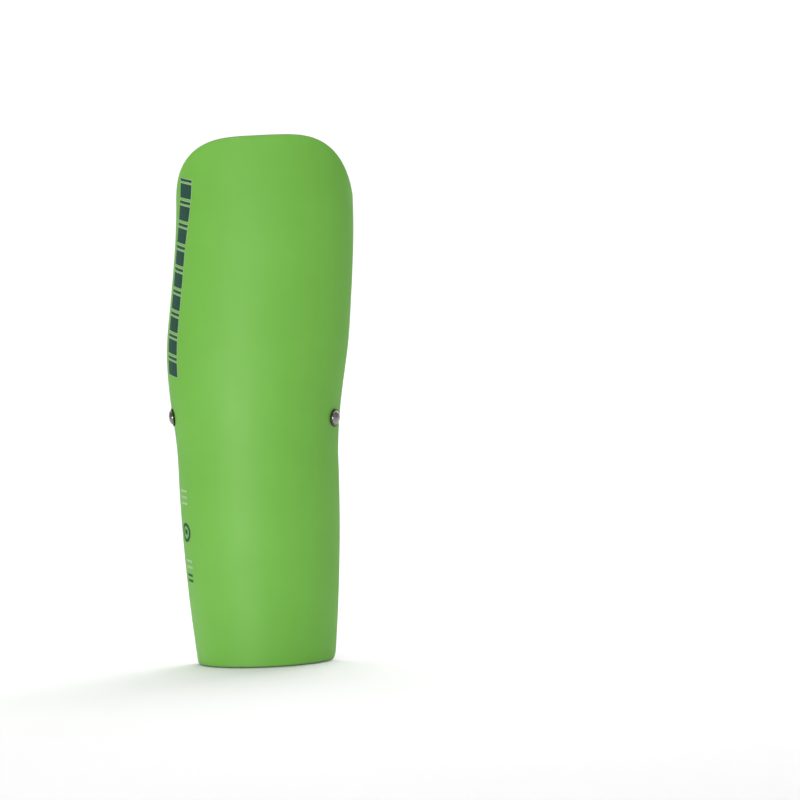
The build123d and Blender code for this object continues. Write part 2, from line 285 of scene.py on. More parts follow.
class Nodes:
    """Adds and links the shader nodes of one material."""

    def __init__(self, name):
        self.material = bpy.data.materials.new(name)
        self.material.use_nodes = True
        self.tree = self.material.node_tree
        self.shader = self.tree.nodes["Principled BSDF"]

    def fill(self, socket, value):
        """Links a socket to another one, or sets its number, vector or colour."""
        if isinstance(value, bpy.types.NodeSocket):
            self.tree.links.new(value, socket)
        else:
            socket.default_value = value

    def add(self, kind, inputs=None, **settings):
        node = self.tree.nodes.new(kind)
        for key, value in settings.items():
            setattr(node, key, value)
        for key, value in (inputs or {}).items():
            self.fill(node.inputs[key], value)
        return node

    def attribute(self, name, output="Vector"):
        return self.add("ShaderNodeAttribute", attribute_name=name).outputs[output]

    def place(self):
        return self.add("ShaderNodeTexCoord").outputs["Object"]

    def stretch(self, vector, scale):
        return self.add("ShaderNodeMapping", {"Vector": vector, "Scale": scale}).outputs["Vector"]

    def noise(self, vector, scale, detail=4.0, roughness=0.55):
        inputs = {"Vector": vector, "Scale": scale, "Detail": detail, "Roughness": roughness}
        return self.add("ShaderNodeTexNoise", inputs).outputs["Fac"]

    def cells(self, vector, scale, randomness):
        inputs = {"Vector": vector, "Scale": scale, "Randomness": randomness}
        return self.add("ShaderNodeTexVoronoi", inputs).outputs["Distance"]

    def split(self, vector):
        return self.add("ShaderNodeSeparateXYZ", {0: vector}).outputs

    def math(self, operation, *values):
        return self.add("ShaderNodeMath", dict(enumerate(values)), operation=operation).outputs[0]

    def span(self, value, low, high, to_low=0.0, to_high=1.0):
        inputs = {"Value": value, "From Min": low, "From Max": high,
                  "To Min": to_low, "To Max": to_high}
        return self.add("ShaderNodeMapRange", inputs).outputs["Result"]

    def mix(self, share, *colours):
        first, second = ((*c, 1) if isinstance(c, tuple) else c for c in colours)
        inputs = {"Factor": share, 6: first, 7: second}
        return self.add("ShaderNodeMix", inputs, data_type="RGBA").outputs[2]

    def bump(self, height, strength, distance, normal=None):
        inputs = {"Height": height, "Strength": strength, "Distance": distance}
        if normal is not None:
            inputs["Normal"] = normal
        return self.add("ShaderNodeBump", inputs).outputs["Normal"]

    def finish(self, colour, roughness, normal=None, **values):
        inputs = {"Base Color": colour, "Roughness": roughness, **values}
        if normal is not None:
            inputs["Normal"] = normal
        for key, value in inputs.items():
            self.fill(self.shader.inputs[key.replace("_", " ")], value)
        return self.material


GREEN = (0.152, 0.423, 0.053)
GREEN_DEEP = (0.141, 0.400, 0.047)
GREEN_PALE = (0.205, 0.460, 0.093)
# Darkest green, painted as shade on the shell's rounded rim.
GREEN_EDGE_SHADE = (0.110, 0.190, 0.080)


def satin_shell():
    """Green moulded plastic with fine grain, scuffs near its rim and painted shade that darkens the cut
    edge.
    """
    n = Nodes("satin_green_plastic")
    place = n.place()
    cloud = n.noise(place, 14.0, 3.0)
    colour = n.mix(n.span(cloud, 0.35, 0.65), GREEN, GREEN_DEEP)
    rim = n.attribute("rim", "Fac")
    scuff_noise = n.noise(n.stretch(place, (1, 1, 0.35)), 160.0, 6.0, 0.7)
    near_rim = n.span(rim, 0.2, 7.0, 1.0, 0.0)
    worn = n.math("MULTIPLY", near_rim, n.span(scuff_noise, 0.52, 0.70))
    colour = n.mix(n.math("MULTIPLY", worn, 0.6), colour, GREEN_PALE)
    # Painted shade: the colour darkens over the rounded rim and within about a millimetre of it.
    colour = n.mix(n.span(rim, 0.35, 1.15, 0.85, 0.0), colour, GREEN_EDGE_SHADE)
    grain = n.noise(place, 900.0, 2.0)
    streak = n.noise(n.stretch(place, (1, 1, 0.08)), 320.0, 3.0, 0.6)
    roughness = n.math("ADD", n.span(cloud, 0.3, 0.7, 0.50, 0.56), n.math("MULTIPLY", worn, 0.2))
    roughness = n.math("ADD", roughness, n.span(streak, 0.3, 0.7, -0.02, 0.03))
    normal = n.bump(grain, 0.10, 0.0002)
    normal = n.bump(streak, 0.05, 0.0002, normal)
    return n.finish(colour, roughness, normal, Specular_IOR_Level=0.36)


def print_ink(name, dark, light):
    """Printed ink, finely specked."""
    n = Nodes(name)
    speck = n.noise(n.place(), 700.0, 4.0, 0.7)
    colour = n.mix(n.span(speck, 0.3, 0.75), dark, light)
    roughness = n.span(speck, 0.2, 0.8, 0.55, 0.68)
    return n.finish(colour, roughness, n.bump(speck, 0.08, 0.0001), Specular_IOR_Level=0.2)


NICKEL, NICKEL_HAZY = (0.25, 0.25, 0.235), (0.17, 0.17, 0.16)
# Near black, painted as shade and dark reflection low on the rivet heads.
RIVET_PAINTED_SHADE = (0.022, 0.026, 0.018)


def nickel():
    """Nickel plate, duller low on the rivet heads, with painted shade and a painted dark reflection
    there.
    """
    n = Nodes("polished_nickel")
    place = n.place()
    haze = n.noise(place, 260.0, 5.0, 0.6)
    scratch = n.noise(n.stretch(place, (1, 0.1, 1)), 1500.0, 3.0)
    colour = n.mix(n.span(haze, 0.4, 0.7), NICKEL, NICKEL_HAZY)
    # Painted shade and dark reflection: the colour darkens low on the rivet, at the flange next to the
    # shell.
    painted_flange_shade = n.span(n.attribute("rise", "Fac"), 0.75, 1.35, 1.0, 0.0)
    colour = n.mix(painted_flange_shade, colour, RIVET_PAINTED_SHADE)
    worn = n.span(scratch, 0.4, 0.7, 0.0, 0.05)
    roughness = n.math("ADD", n.span(haze, 0.3, 0.8, 0.14, 0.26), worn)
    roughness = n.math("ADD", roughness, n.math("MULTIPLY", painted_flange_shade, 0.3))
    return n.finish(colour, roughness, n.bump(scratch, 0.06, 0.0001), Metallic=1.0)


def pale_stage():
    """White studio paper."""
    n = Nodes("pale_paper")
    fleck = n.noise(n.place(), 9.0, 3.0)
    colour = n.mix(fleck, (0.93, 0.93, 0.93), (0.95, 0.95, 0.95))
    return n.finish(colour, n.span(fleck, 0.0, 1.0, 0.75, 0.85), Specular_IOR_Level=0.1)


# Camera
VIEW_YAW = math.radians(7.0)
VIEW_DISTANCE = 1.632
VIEW_SIDE = 0.0986
VIEW_HEIGHT = 0.1867
VIEW_ROLL = math.radians(-2.39)
VIEW_LENS = 100.26
FILM_WIDTH = 36.0
VIEW_REACH = 50.0


def add_camera():
    """Camera at the photograph's viewing angle."""
    across = Vector((math.cos(VIEW_YAW), math.sin(VIEW_YAW), 0))
    ahead = Vector((-math.sin(VIEW_YAW), math.cos(VIEW_YAW), 0))
    eye = across * VIEW_SIDE - ahead * VIEW_DISTANCE + Vector((0, 0, VIEW_HEIGHT))
    camera = bpy.data.objects.new("camera", bpy.data.cameras.new("camera"))
    bpy.context.scene.collection.objects.link(camera)
    turn = Matrix((across, (0, 0, 1), -ahead)).transposed().to_4x4()
    camera.matrix_world = Matrix.Translation(eye) @ turn @ Matrix.Rotation(VIEW_ROLL, 4, "Z")
    camera.data.lens = VIEW_LENS
    camera.data.sensor_width = FILM_WIDTH
    camera.data.clip_end = VIEW_REACH
    bpy.context.scene.camera = camera


def add_light(name, place, aim, size, power):
    """White rectangular light at a place, turned to the point it aims at."""
    light = bpy.data.lights.new(name, "AREA")
    light.shape = "RECTANGLE"
    light.size, light.size_y = size
    light.energy = power
    lamp = bpy.data.objects.new(name, light)
    bpy.context.scene.collection.objects.link(lamp)
    lamp.location = place
    lamp.rotation_euler = (Vector(aim) - Vector(place)).to_track_quat("-Z", "Y").to_euler()


# Stage, in metres
FLOOR_HALF = 9.0
FLOOR_FRONT_Y = -9.0
FLOOR_DROP = 0.0005
BACKDROP_Y = 2.2
BACKDROP_HEIGHT = 3.5
BACKDROP_BEND = 0.8
WORLD_LIGHT = 0.39


def add_stage():
    """Seamless pale floor and backdrop."""
    line = [(FLOOR_FRONT_Y, 0.0)]
    for angle in np.linspace(0, math.pi / 2, 16):
        y = BACKDROP_Y - BACKDROP_BEND + BACKDROP_BEND * math.sin(angle)
        line.append((y, BACKDROP_BEND - BACKDROP_BEND * math.cos(angle)))
    line.append((BACKDROP_Y, BACKDROP_HEIGHT))
    points = [(side * FLOOR_HALF / MM, y / MM, (z - FLOOR_DROP) / MM)
              for y, z in line for side in (-1, 1)]
    faces = [(2 * k, 2 * k + 1, 2 * k + 3, 2 * k + 2) for k in range(len(line) - 1)]
    floor = new_object("floor", points, faces, pale_stage())


def add_lights():
    """Soft studio light. The lamp for the far floor faces away from the object."""
    middle = (0, 0, HEIGHT / 2 * MM)
    add_light("key", (-0.62, -1.7, 0.15), (0, 0, 0.06), (1.0, 0.27), 16.2)
    add_light("right", (1.7, -0.7, 0.6), middle, (0.8, 1.4), 1.2)
    add_light("top", (0.0, 0.2, 1.9), middle, (1.4, 1.4), 20.0)
    add_light("back", (0.6, 1.4, 1.0), middle, (1.2, 1.0), 7.0)
    add_light("far_floor", (-0.68, -1.85, 1.4), (-2.6, -7.1, 0.0), (7.0, 1.2), 170.0)
    add_light("backdrop", (0.0, 1.0, 2.2), (0, 2.2, 0.8), (2.6, 0.5), 19.0)
    world = bpy.data.worlds.new("studio")
    world.use_nodes = True
    background = world.node_tree.nodes["Background"]
    background.inputs["Color"].default_value = (1, 1, 1, 1)
    background.inputs["Strength"].default_value = WORLD_LIGHT
    bpy.context.scene.world = world
    bpy.context.scene.view_settings.view_transform = "Standard"


# Shell

def make_shell():
    """Moulded shell with a rounded rim."""
    profile = rounded_rim(0.0, WALL, 0.0, RIM_RADIUS)
    shell = closed_sheet("shell_moulding", profile, satin_shell())
    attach(shell, "guard")
    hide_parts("shell")


# Rivets

RIVET_SEGMENTS = 64
CROWN_RADIUS, CROWN_BASE, CROWN_RISE = 5.1, 1.1, 2.1
STEM_RADIUS, STEM_BORE, STEM_TOP, STEM_END, BORE_END = 2.5, 1.5, 0.08, -5.9, -0.5


def turned(profile, centre, axis, segments=RIVET_SEGMENTS):
    """Points and faces of a turned body. profile lists (radius, height along the axis)."""
    axis = Vector(axis).normalized()
    across = axis.orthogonal().normalized()
    beside = axis.cross(across)
    rings, points = [], []
    for radius, height in profile:
        if radius < 1e-6:
            rings.append([len(points)])
            points.append(Vector(centre) + axis * height)
            continue
        rings.append(list(range(len(points), len(points) + segments)))
        for k in range(segments):
            angle = 2 * math.pi * k / segments
            spoke = across * math.cos(angle) + beside * math.sin(angle)
            points.append(Vector(centre) + axis * height + spoke * radius)
    faces = []
    for low, high in zip(rings, rings[1:]):
        for k in range(segments):
            nxt = (k + 1) % segments
            if len(low) == 1:
                faces.append((low[0], high[k], high[nxt]))
            elif len(high) == 1:
                faces.append((low[nxt], low[k], high[0]))
            else:
                faces.append((low[nxt], low[k], high[k], high[nxt]))
    return points, faces


def rivet_axis(side):
    """Place of a rivet on the shell's outer face, and its outward axis, in millimetres."""
    place = wall_points(side * RIVET_TURN, RIVET_HEIGHT[side])
    return place, wall_normals(side * RIVET_TURN, RIVET_HEIGHT[side])


def dome_profile():
    """Section of a rivet cap, as (radius, height): dome, rolled flange and hollow stem."""
    angles = np.linspace(0, math.pi / 2, 14)
    crown = [(CROWN_RADIUS * math.sin(a), CROWN_BASE + CROWN_RISE * math.cos(a)) for a in angles]
    flange_top = [(5.15, 0.98), (5.35, 0.92), (6.1, 0.9)]
    flange_roll = [(6.45, 0.74), (6.58, 0.5), (6.5, 0.25), (6.2, STEM_TOP)]
    stem = [(STEM_RADIUS, STEM_TOP), (STEM_RADIUS, STEM_END), (STEM_BORE, STEM_END),
            (STEM_BORE, BORE_END), (0, BORE_END)]
    return crown + flange_top + flange_roll + stem


def make_rivets():
    """Two rivet caps; the posts and the washers are painted CAD nodes."""
    metal = nickel()
    axes = [rivet_axis(side) for side in (LATERAL, MEDIAL)]
    points, faces = gather([turned(dome_profile(), centre, axis) for centre, axis in axes])
    caps = new_object("rivet_domes", points, faces, metal)
    half = len(points) // 2
    rise = [np.dot(np.array(p) - axes[k // half][0], axes[k // half][1]) for k, p in enumerate(points)]
    set_attribute(caps, "rise", rise)
    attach(caps, "guard")
    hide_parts("rivet_caps")
    for name in ("rivet_posts", "rivet_washers"):
        paint(name, metal)


def paint(node, material):
    """Gives a CAD node that stays in view its material."""
    mesh = frame["nodes"][node].data
    mesh.materials.clear()
    mesh.materials.append(material)


# Generic prints

TEAL = (0.010, 0.050, 0.034)
TEAL_PALE = (0.020, 0.070, 0.050)
PRINT_WHITE = (0.42, 0.56, 0.36)
PRINT_GREY = (0.28, 0.42, 0.22)
# Row of slanted blocks, each with a narrow bar above it: heights in millimetres, turns in degrees
BLOCK_COUNT, BLOCK_START, BLOCK_PITCH = 9, 209.5, 16.0
BLOCK_TURNS, BLOCK_SLANT = (53.0, 68.2), 3.4
BLOCK_SPANS = ((0.0, 10.4), (11.9, 13.9))
BLOCK_LEAN, BLOCK_LEAN_Z, BLOCK_LEAN_LENGTH = 7.0, 295.0, 60.0
EDGE_LINE, EDGE_TURNS, EDGE_SLANT = 0.35, (52.6, 68.6), 3.5
BLOCK_PROUD, EDGE_PROUD, MARK_PROUD, INK_DEPTH = 0.09, 0.05, 0.07, 0.04

# Ring with a dot, and short bars
RING_TURN, RING_HEIGHT, RING_INNER, RING_OUTER = 61.0, 97.0, 4.6, 7.0
DOT_TURNS, DOT_HEIGHTS = (58.6, 63.4), (95.2, 98.8)
DARK_BARS, DARK_BAR_TURNS, DARK_BAR_TALL = (60.5, 64.5), (56.0, 66.0), 1.8
PALE_BARS, PALE_BAR_TURNS, PALE_BAR_TALL = (70.5, 75.0, 117.0, 121.5, 126.0), (55.0, 67.0), 1.6
MARK_SLANT = 1.0


def wall_patch(outline, proud, steps=(6, 6)):
    """Closed thin patch on the lateral wall. outline(p, q) gives turn and height in 0 to 1."""
    points = []
    columns, rows = steps[0] + 1, steps[1] + 1
    for inset in (-proud, INK_DEPTH):
        for i in range(columns):
            for j in range(rows):
                turn, z = outline(i / steps[0], j / steps[1])
                points.append(wall_points(-turn, z, inset))
    index = np.arange(columns * rows).reshape(columns, rows)
    low = index + columns * rows
    faces = grid_quads(index)[:, [0, 3, 2, 1]].tolist() + grid_quads(low).tolist()
    order = rim_order(columns, rows)
    faces += ring_faces([int(low[p]) for p in order], [int(index[p]) for p in order])
    return points, faces


def slanted_block(turns, low_z, high_z, slant, proud):
    """Parallelogram on the wall whose rear side sits higher than its front side. Near the
    top the blocks lean forwards, clear of the rounded corner."""
    low_turn, high_turn = turns

    def outline(p, q):
        z = low_z + (high_z - low_z) * q
        lean = BLOCK_LEAN * smooth((z - BLOCK_LEAN_Z) / BLOCK_LEAN_LENGTH)
        return low_turn + (high_turn - low_turn) * p - lean, z + slant * p
    return wall_patch(outline, proud)


def ring_piece(turn, z, inner, outer):
    """Flat ring on the wall, round its middle point."""
    degree = edge_speed(z)

    def outline(p, q):
        angle = 2 * math.pi * q
        radius = inner + (outer - inner) * p
        return turn + radius * math.cos(angle) / degree, z + radius * math.sin(angle)
    return wall_patch(outline, MARK_PROUD, (3, 48))


def gather(parts):
    """Joins lists of (points, faces)."""
    points, faces = [], []
    for more_points, more_faces in parts:
        faces += [[k + len(points) for k in face] for face in more_faces]
        points += [tuple(p) for p in more_points]
    return points, faces


def add_extra(name, parts, material, body):
    """Small piece joined from its parts, which replaces no CAD node."""
    thing = new_object(name, *gather(parts), material)
    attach(thing, body)


def make_prints():
    """Plain slanted blocks, a ring and bars on the outer side, with no lettering."""
    blocks, edges = [], []
    for k in range(BLOCK_COUNT):
        z = BLOCK_START + k * BLOCK_PITCH
        for low, high in BLOCK_SPANS:
            blocks.append(slanted_block(BLOCK_TURNS, z + low, z + high, BLOCK_SLANT, BLOCK_PROUD))
            edges.append(slanted_block(EDGE_TURNS, z + low - EDGE_LINE, z + high + EDGE_LINE,
                                       EDGE_SLANT, EDGE_PROUD))
    blocks.append(ring_piece(RING_TURN, RING_HEIGHT, RING_INNER, RING_OUTER))
    blocks.append(slanted_block(DOT_TURNS, *DOT_HEIGHTS, MARK_SLANT, MARK_PROUD))
    for z in DARK_BARS:
        blocks.append(slanted_block(DARK_BAR_TURNS, z, z + DARK_BAR_TALL, MARK_SLANT, MARK_PROUD))
    for z in PALE_BARS:
        edges.append(slanted_block(PALE_BAR_TURNS, z, z + PALE_BAR_TALL, MARK_SLANT, MARK_PROUD))
    add_extra("print_edges", edges, print_ink("pale_ink", PRINT_WHITE, PRINT_GREY), "guard")
    add_extra("print_blocks", blocks, print_ink("teal_ink", TEAL, TEAL_PALE), "guard")


# Strap

tilt = next(joint for joint in frame["joints"] if joint["name"] == "strap_tilt")
STRAP_X, _, STRAP_Z = (value / MM for value in tilt["pos_m"])
ACROSS = np.array(tilt["axis"])
UP = np.cross(ACROSS, (0, 1, 0))
LOOP_HALF_WIDTH = half_width(STRAP_Z) - TAB_OUT - WEBBING / 2
RIB_PITCH, RIB_COUNT, SELVEDGE = 2.0, 19, 2.6
BAR_PITCH, BAR_MARGIN, BAR_START = 3.2, 4.0, 2.5
ARC_STEPS = 6


def strap_points(turn, across, lift):
    """Points of the strap's middle layer. turn runs from the lateral side (0) to the medial
    (180), and beyond these along the shell's inner wall; across runs over its width."""
    turn, across, lift = np.broadcast_arrays(*(np.asarray(v, float) for v in (turn, across, lift)))
    angle = np.radians(turn)
    behind = (turn > 0) & (turn < 180)
    depth = np.where(behind, CALF_DEPTH, front_depth(STRAP_Z) - TAB_OUT - WEBBING / 2)
    normal = np.stack([-depth * np.cos(angle), LOOP_HALF_WIDTH * np.sin(angle)], -1)
    normal /= np.linalg.norm(normal, axis=-1, keepdims=True)
    x = -LOOP_HALF_WIDTH * np.cos(angle) + lift * normal[..., 0]
    y = WIDEST_Y + depth * np.sin(angle) + lift * normal[..., 1]
    loop = (np.array([STRAP_X, 0, STRAP_Z]) + x[..., None] * ACROSS
            + y[..., None] * np.array([0, 1, 0]) + across[..., None] * UP)
    z = loop[..., 2]
    taper = half_width(z) - half_width(STRAP_Z)
    lean = centre_x(z) - STRAP_X
    wall = loop.copy()
    wall[..., 0] += lean - np.cos(angle) * taper
    wall[..., 1] += np.where(behind, 0, np.sin(angle) * (front_depth(z) - front_depth(STRAP_Z)))
    share = smooth(np.minimum(turn, 180 - turn) / LEAD_END)[..., None]
    return wall * (1 - share) + loop * share


def strap_frame(turn, across, lift):
    """Points, outward normals and widthways directions of the strap."""
    points = strap_points(turn, across, lift)
    along = strap_points(turn + 0.3, across, lift) - strap_points(turn - 0.3, across, lift)
    wide = strap_points(turn, across + 0.3, lift) - strap_points(turn, across - 0.3, lift)
    normal = np.cross(wide, along)
    normal /= np.linalg.norm(normal, axis=-1, keepdims=True)
    wide /= np.linalg.norm(wide, axis=-1, keepdims=True)
    return points, normal, wide


def ribbon(name, start, stop, lift, material, thickness=WEBBING, wide=STRAP_HALF_WIDTH, step=1.5,
           rib=0.0, ridge=0.0, corner=0.0):
    """Closed band along the loop with round selvedges. lift is a number or a function of turn.
    rib is the height of the lengthwise cords, and ridge the height of crosswise grip bars."""
    count = max(4, int(abs(stop - start) * 0.85 / step))
    turns = np.linspace(start, stop, count + 1)
    half = thickness / 2
    rows = np.linspace(-wide + half, wide - half, 4 * RIB_COUNT + 1 if rib else 25)
    cord = rib * (0.5 + 0.5 * np.cos(2 * math.pi * rows / RIB_PITCH)) * (np.abs(rows) < wide - SELVEDGE)
    bar_width = smooth((wide - BAR_MARGIN - np.abs(rows)) / 2.0)
    lifts = lift(turns) if callable(lift) else np.full(len(turns), float(lift))
    run = np.zeros(len(turns))
    middle = strap_points(turns, 0.0, lifts)
    run[1:] = np.cumsum(np.linalg.norm(np.diff(middle, axis=0), axis=1))
    points, flats, faces = [], [], []
    arc = np.linspace(0, math.pi, ARC_STEPS + 1)[1:-1]
    for k, turn in enumerate(turns):
        left = min(run[k], run[-1] - run[k])
        shrink = 1.0
        if corner > 0 and left < corner:
            shrink = 1 - (corner - math.sqrt(max(corner ** 2 - (corner - left) ** 2, 0))) / wide
        across = rows * shrink
        base, normal, side = strap_frame(turn, across, lifts[k])
        bar = smooth(0.5 - math.cos(2 * math.pi * run[k] / BAR_PITCH)) * (left > BAR_START)
        swell = half - cord + ridge * bar * bar_width
        outer = base + normal * swell[:, None]
        inner = base - normal * swell[:, None]
        right = [base[-1] + half * (normal[-1] * math.cos(a) + side[-1] * math.sin(a)) for a in arc]
        left_side = [base[0] + half * (-normal[0] * math.cos(a) - side[0] * math.sin(a)) for a in arc]
        loop = list(outer) + right + list(inner[::-1]) + left_side
        points += loop
        flats += ([(run[k], v, 1) for v in across] + [(run[k], wide, 0.5)] * len(arc)
                  + [(run[k], v, 0) for v in across[::-1]] + [(run[k], -wide, 0.5)] * len(arc))
    size = len(loop)
    for k in range(len(turns) - 1):
        a, b = k * size, (k + 1) * size
        faces += [[a + m, a + (m + 1) % size, b + (m + 1) % size, b + m] for m in range(size)]
    last = (len(turns) - 1) * size
    width, bend = len(rows), len(arc)
    inner_last = 2 * width + bend - 1
    cap = [[m, inner_last - m, inner_last - m - 1, m + 1] for m in range(width - 1)]
    cap.append(list(range(width - 1, width + bend + 1))[::-1])
    cap.append([0] + list(range(inner_last, size))[::-1])
    for offset, order in ((0, 1), (last, -1)):
        faces += [[offset + k for k in face][::order] for face in cap]
    if start > stop:
        faces = [face[::-1] for face in faces]
    band = new_object(name, points, faces, material)
    set_attribute(band, "flat", flats)
    return band


LIFT_DELAY = 0.8


def long_lift(turn):
    """Lift of the long strap, which rises over the short one between its two fold lines."""
    length = TAIL_START - LEAD_END - 2 * LIFT_DELAY
    return (LIFT_TAIL + WEBBING / 2) * smooth((turn - LEAD_END - LIFT_DELAY) / length)


def hinge_point(turn, lift=0.0):
    """Place in metres on the strap's centre line."""
    return tuple(strap_points(turn, 0.0, lift) * MM)


STITCH_RINGS, STITCH_SIDES = 7, 8
STITCH_BOW, STITCH_SINK = 0.14, 0.05


def stitch_bead(ends, normal, thick):
    """One stitch between its two ends: a flat oval bead that bows outwards."""
    along = ends[1] - ends[0]
    along /= np.linalg.norm(along)
    side = np.cross(normal, along)
    sides = range(STITCH_SIDES)
    points, faces = [], []
    for share in np.linspace(0, 1, STITCH_RINGS):
        girth = thick * math.sqrt(max(1 - (2 * share - 1) ** 4, 0.02)) / 2
        bow = STITCH_BOW * math.sin(math.pi * share) - STITCH_SINK
        middle = ends[0] + (ends[1] - ends[0]) * share + normal * bow
        for m in sides:
            angle = 2 * math.pi * m / STITCH_SIDES
            points.append(middle + girth * (math.cos(angle) * side + 0.8 * math.sin(angle) * normal))
    for a in range(0, (STITCH_RINGS - 1) * STITCH_SIDES, STITCH_SIDES):
        b = a + STITCH_SIDES
        faces += [[a + m, a + (m + 1) % STITCH_SIDES, b + (m + 1) % STITCH_SIDES, b + m] for m in sides]
    faces.append(list(sides)[::-1])
    faces.append([(STITCH_RINGS - 1) * STITCH_SIDES + m for m in sides])
    return points, faces


def stitch_line(places, normals, length=2.7, gap=1.0, thick=0.42):
    """Thread stitches along a line of points."""
    places = np.asarray(places, float)
    run = np.concatenate([[0], np.cumsum(np.linalg.norm(np.diff(places, axis=0), axis=1))])
    parts = []
    count = int(run[-1] / (length + gap))

    def at(distance, values):
        return np.array([np.interp(distance, run, values[:, k]) for k in range(3)])

    for k in range(count):
        start = (k + 0.5) * (run[-1] / count) - length / 2
        ends = at(start, places), at(start + length, places)
        normal = at(start + length / 2, normals)
        parts.append(stitch_bead(ends, normal / np.linalg.norm(normal), thick))
    return parts


def box_seam(first, last, lift, face):
    """Stitches round a box on the strap. face is 1 on its outer side and -1 on its inner side."""
    edge = SEAM_ACROSS
    rows = (((first, last), (edge, edge)), ((first, last), (-edge, -edge)),
            ((first, first), (-edge, edge)), ((last, last), (-edge, edge)))
    parts = []
    for turns, across in rows:
        turns = np.linspace(*turns, 40)
        across = np.linspace(*across, 40)
        places, normals, _ = strap_frame(turns, across, lift)
        parts += stitch_line(places + normals * face * WEBBING / 2, normals * face)
    return parts


WEBBING_DARK, WEBBING_LIGHT = (0.0035, 0.0035, 0.004), (0.040, 0.041, 0.044)
PILE_SHADES = (0.010, 0.010, 0.011), (0.060, 0.061, 0.064)
HOOK_SHADES = (0.008, 0.008, 0.009), (0.040, 0.040, 0.042)
# The third grip colour is near black, painted as shade in the grooves between the grip bars.
GRIP_BLACK, GRIP_WORN, GRIP_GROOVE_SHADE = (0.020, 0.020, 0.021), (0.038, 0.038, 0.040), (0.006, 0.006, 0.0065)
STRAP_THREAD = (0.050, 0.051, 0.055), (0.16, 0.165, 0.175)
PICK_PITCH = 1.25

# Joins of the lengths of webbing, and the twist behind the rivets, in degrees of turn
TAB_START = -30.6
SEAM_LATERAL, SEAM_TAIL, SEAM_MEDIAL = 19.0, 76.0, 161.0
TWIST_START, TWIST_END = -4.0, 17.0
CORD_HEIGHT = 0.16

# Patches, grip and their stitches
PATCH_LOOK, PATCH_HALF_WIDTH = 0.9, 17.0
GRIP_THICKNESS, GRIP_OVERLAP, GRIP_CORNER, BAR_HEIGHT = 2.0, 3.0, 5.0, 0.65
TAIL_SEAM, SHORT_SEAM, SEAM_ACROSS = (92, 134), (90, 146), 15.5


def sine_ridges(n, value, pitch):
    """Rounded ridges, a pitch apart, along a value in millimetres."""
    return n.math("ABSOLUTE", n.math("SINE", n.math("MULTIPLY", value, math.pi / pitch)))


def woven_webbing():
    """Black elastic webbing: lengthwise cords crossed by slanting picks, with lint, wear and painted
    shade in the valleys between cords and picks.
    """
    n = Nodes("elastic_webbing")
    run, across, _ = n.split(n.attribute("flat"))
    cord = sine_ridges(n, across, RIB_PITCH)
    slant = n.math("ADD", run, n.math("MULTIPLY", across, 0.8))
    pick = sine_ridges(n, slant, PICK_PITCH)
    lint = n.noise(n.place(), 420.0, 4.0, 0.65)
    worn = n.noise(n.place(), 35.0, 3.0)
    height = n.math("ADD", n.math("MULTIPLY", cord, 0.5), n.math("MULTIPLY", pick, 0.5))
    # Painted shade: darker in the valleys between the cords and between the picks.
    shade = n.math("MULTIPLY", n.math("POWER", cord, 0.7), n.span(pick, 0.0, 1.0, 0.25, 1.0))
    shade = n.math("MULTIPLY", shade, n.span(lint, 0.3, 0.7, 0.7, 1.1))
    shade = n.math("ADD", shade, n.span(worn, 0.45, 0.7, 0.0, 0.15))
    colour = n.mix(shade, WEBBING_DARK, WEBBING_LIGHT)
    normal = n.bump(height, 0.7, 0.0003)
    roughness = n.span(lint, 0.2, 0.8, 0.70, 0.88)
    return n.finish(colour, roughness, normal, Sheen_Weight=0.06, Sheen_Roughness=0.5,
                    Specular_IOR_Level=0.3)


def loop_pile(name, dark, light, scale, strength):
    """Nap of small tufts: loop pile, hooks or brushed cloth, with painted shade between the tufts."""
    n = Nodes(name)
    place = n.place()
    tuft = n.span(n.cells(place, scale, 0.75), 0.0, 0.75, 1.0, 0.0)
    nap = n.noise(place, scale * 0.35, 4.0, 0.65)
    # Painted shade: darker between the tufts, where the nap is low.
    shade = n.math("MULTIPLY", tuft, n.span(nap, 0.25, 0.75, 0.5, 1.0))
    colour = n.mix(shade, dark, light)
    return n.finish(colour, n.span(nap, 0.2, 0.8, 0.8, 0.95), n.bump(tuft, strength, 0.0005),
                    Sheen_Weight=0.10, Sheen_Roughness=0.45, Specular_IOR_Level=0.3)


def soft_grip():
    """Soft black plastic, with painted shade in the grooves between the grip bars."""
    n = Nodes("soft_grip")
    place = n.place()
    grain = n.noise(place, 800.0, 3.0, 0.6)
    wear = n.noise(place, 60.0, 4.0, 0.6)
    run = n.split(n.attribute("flat"))[0]
    # Painted shade: the colour darkens in the grooves between the grip bars.
    wave = n.math("ABSOLUTE", n.math("COSINE", n.math("MULTIPLY", run, math.pi / BAR_PITCH)))
    groove_shade = n.span(wave, 0.72, 0.98)
    colour = n.mix(n.span(wear, 0.4, 0.7), GRIP_BLACK, GRIP_WORN)
    colour = n.mix(groove_shade, colour, GRIP_GROOVE_SHADE)
    normal = n.bump(grain, 0.2, 0.0002)
    return n.finish(colour, n.span(wear, 0.3, 0.7, 0.40, 0.52), normal)


def thread(name, dark, light):
    """Twisted sewing thread."""
    n = Nodes(name)
    ply = n.noise(n.stretch(n.place(), (1, 1, 0.4)), 1500.0, 3.0, 0.6)
    return n.finish(n.mix(n.span(ply, 0.3, 0.7), dark, light), n.span(ply, 0.2, 0.8, 0.5, 0.65),
                    n.bump(ply, 0.4, 0.0002), Sheen_Weight=0.2)


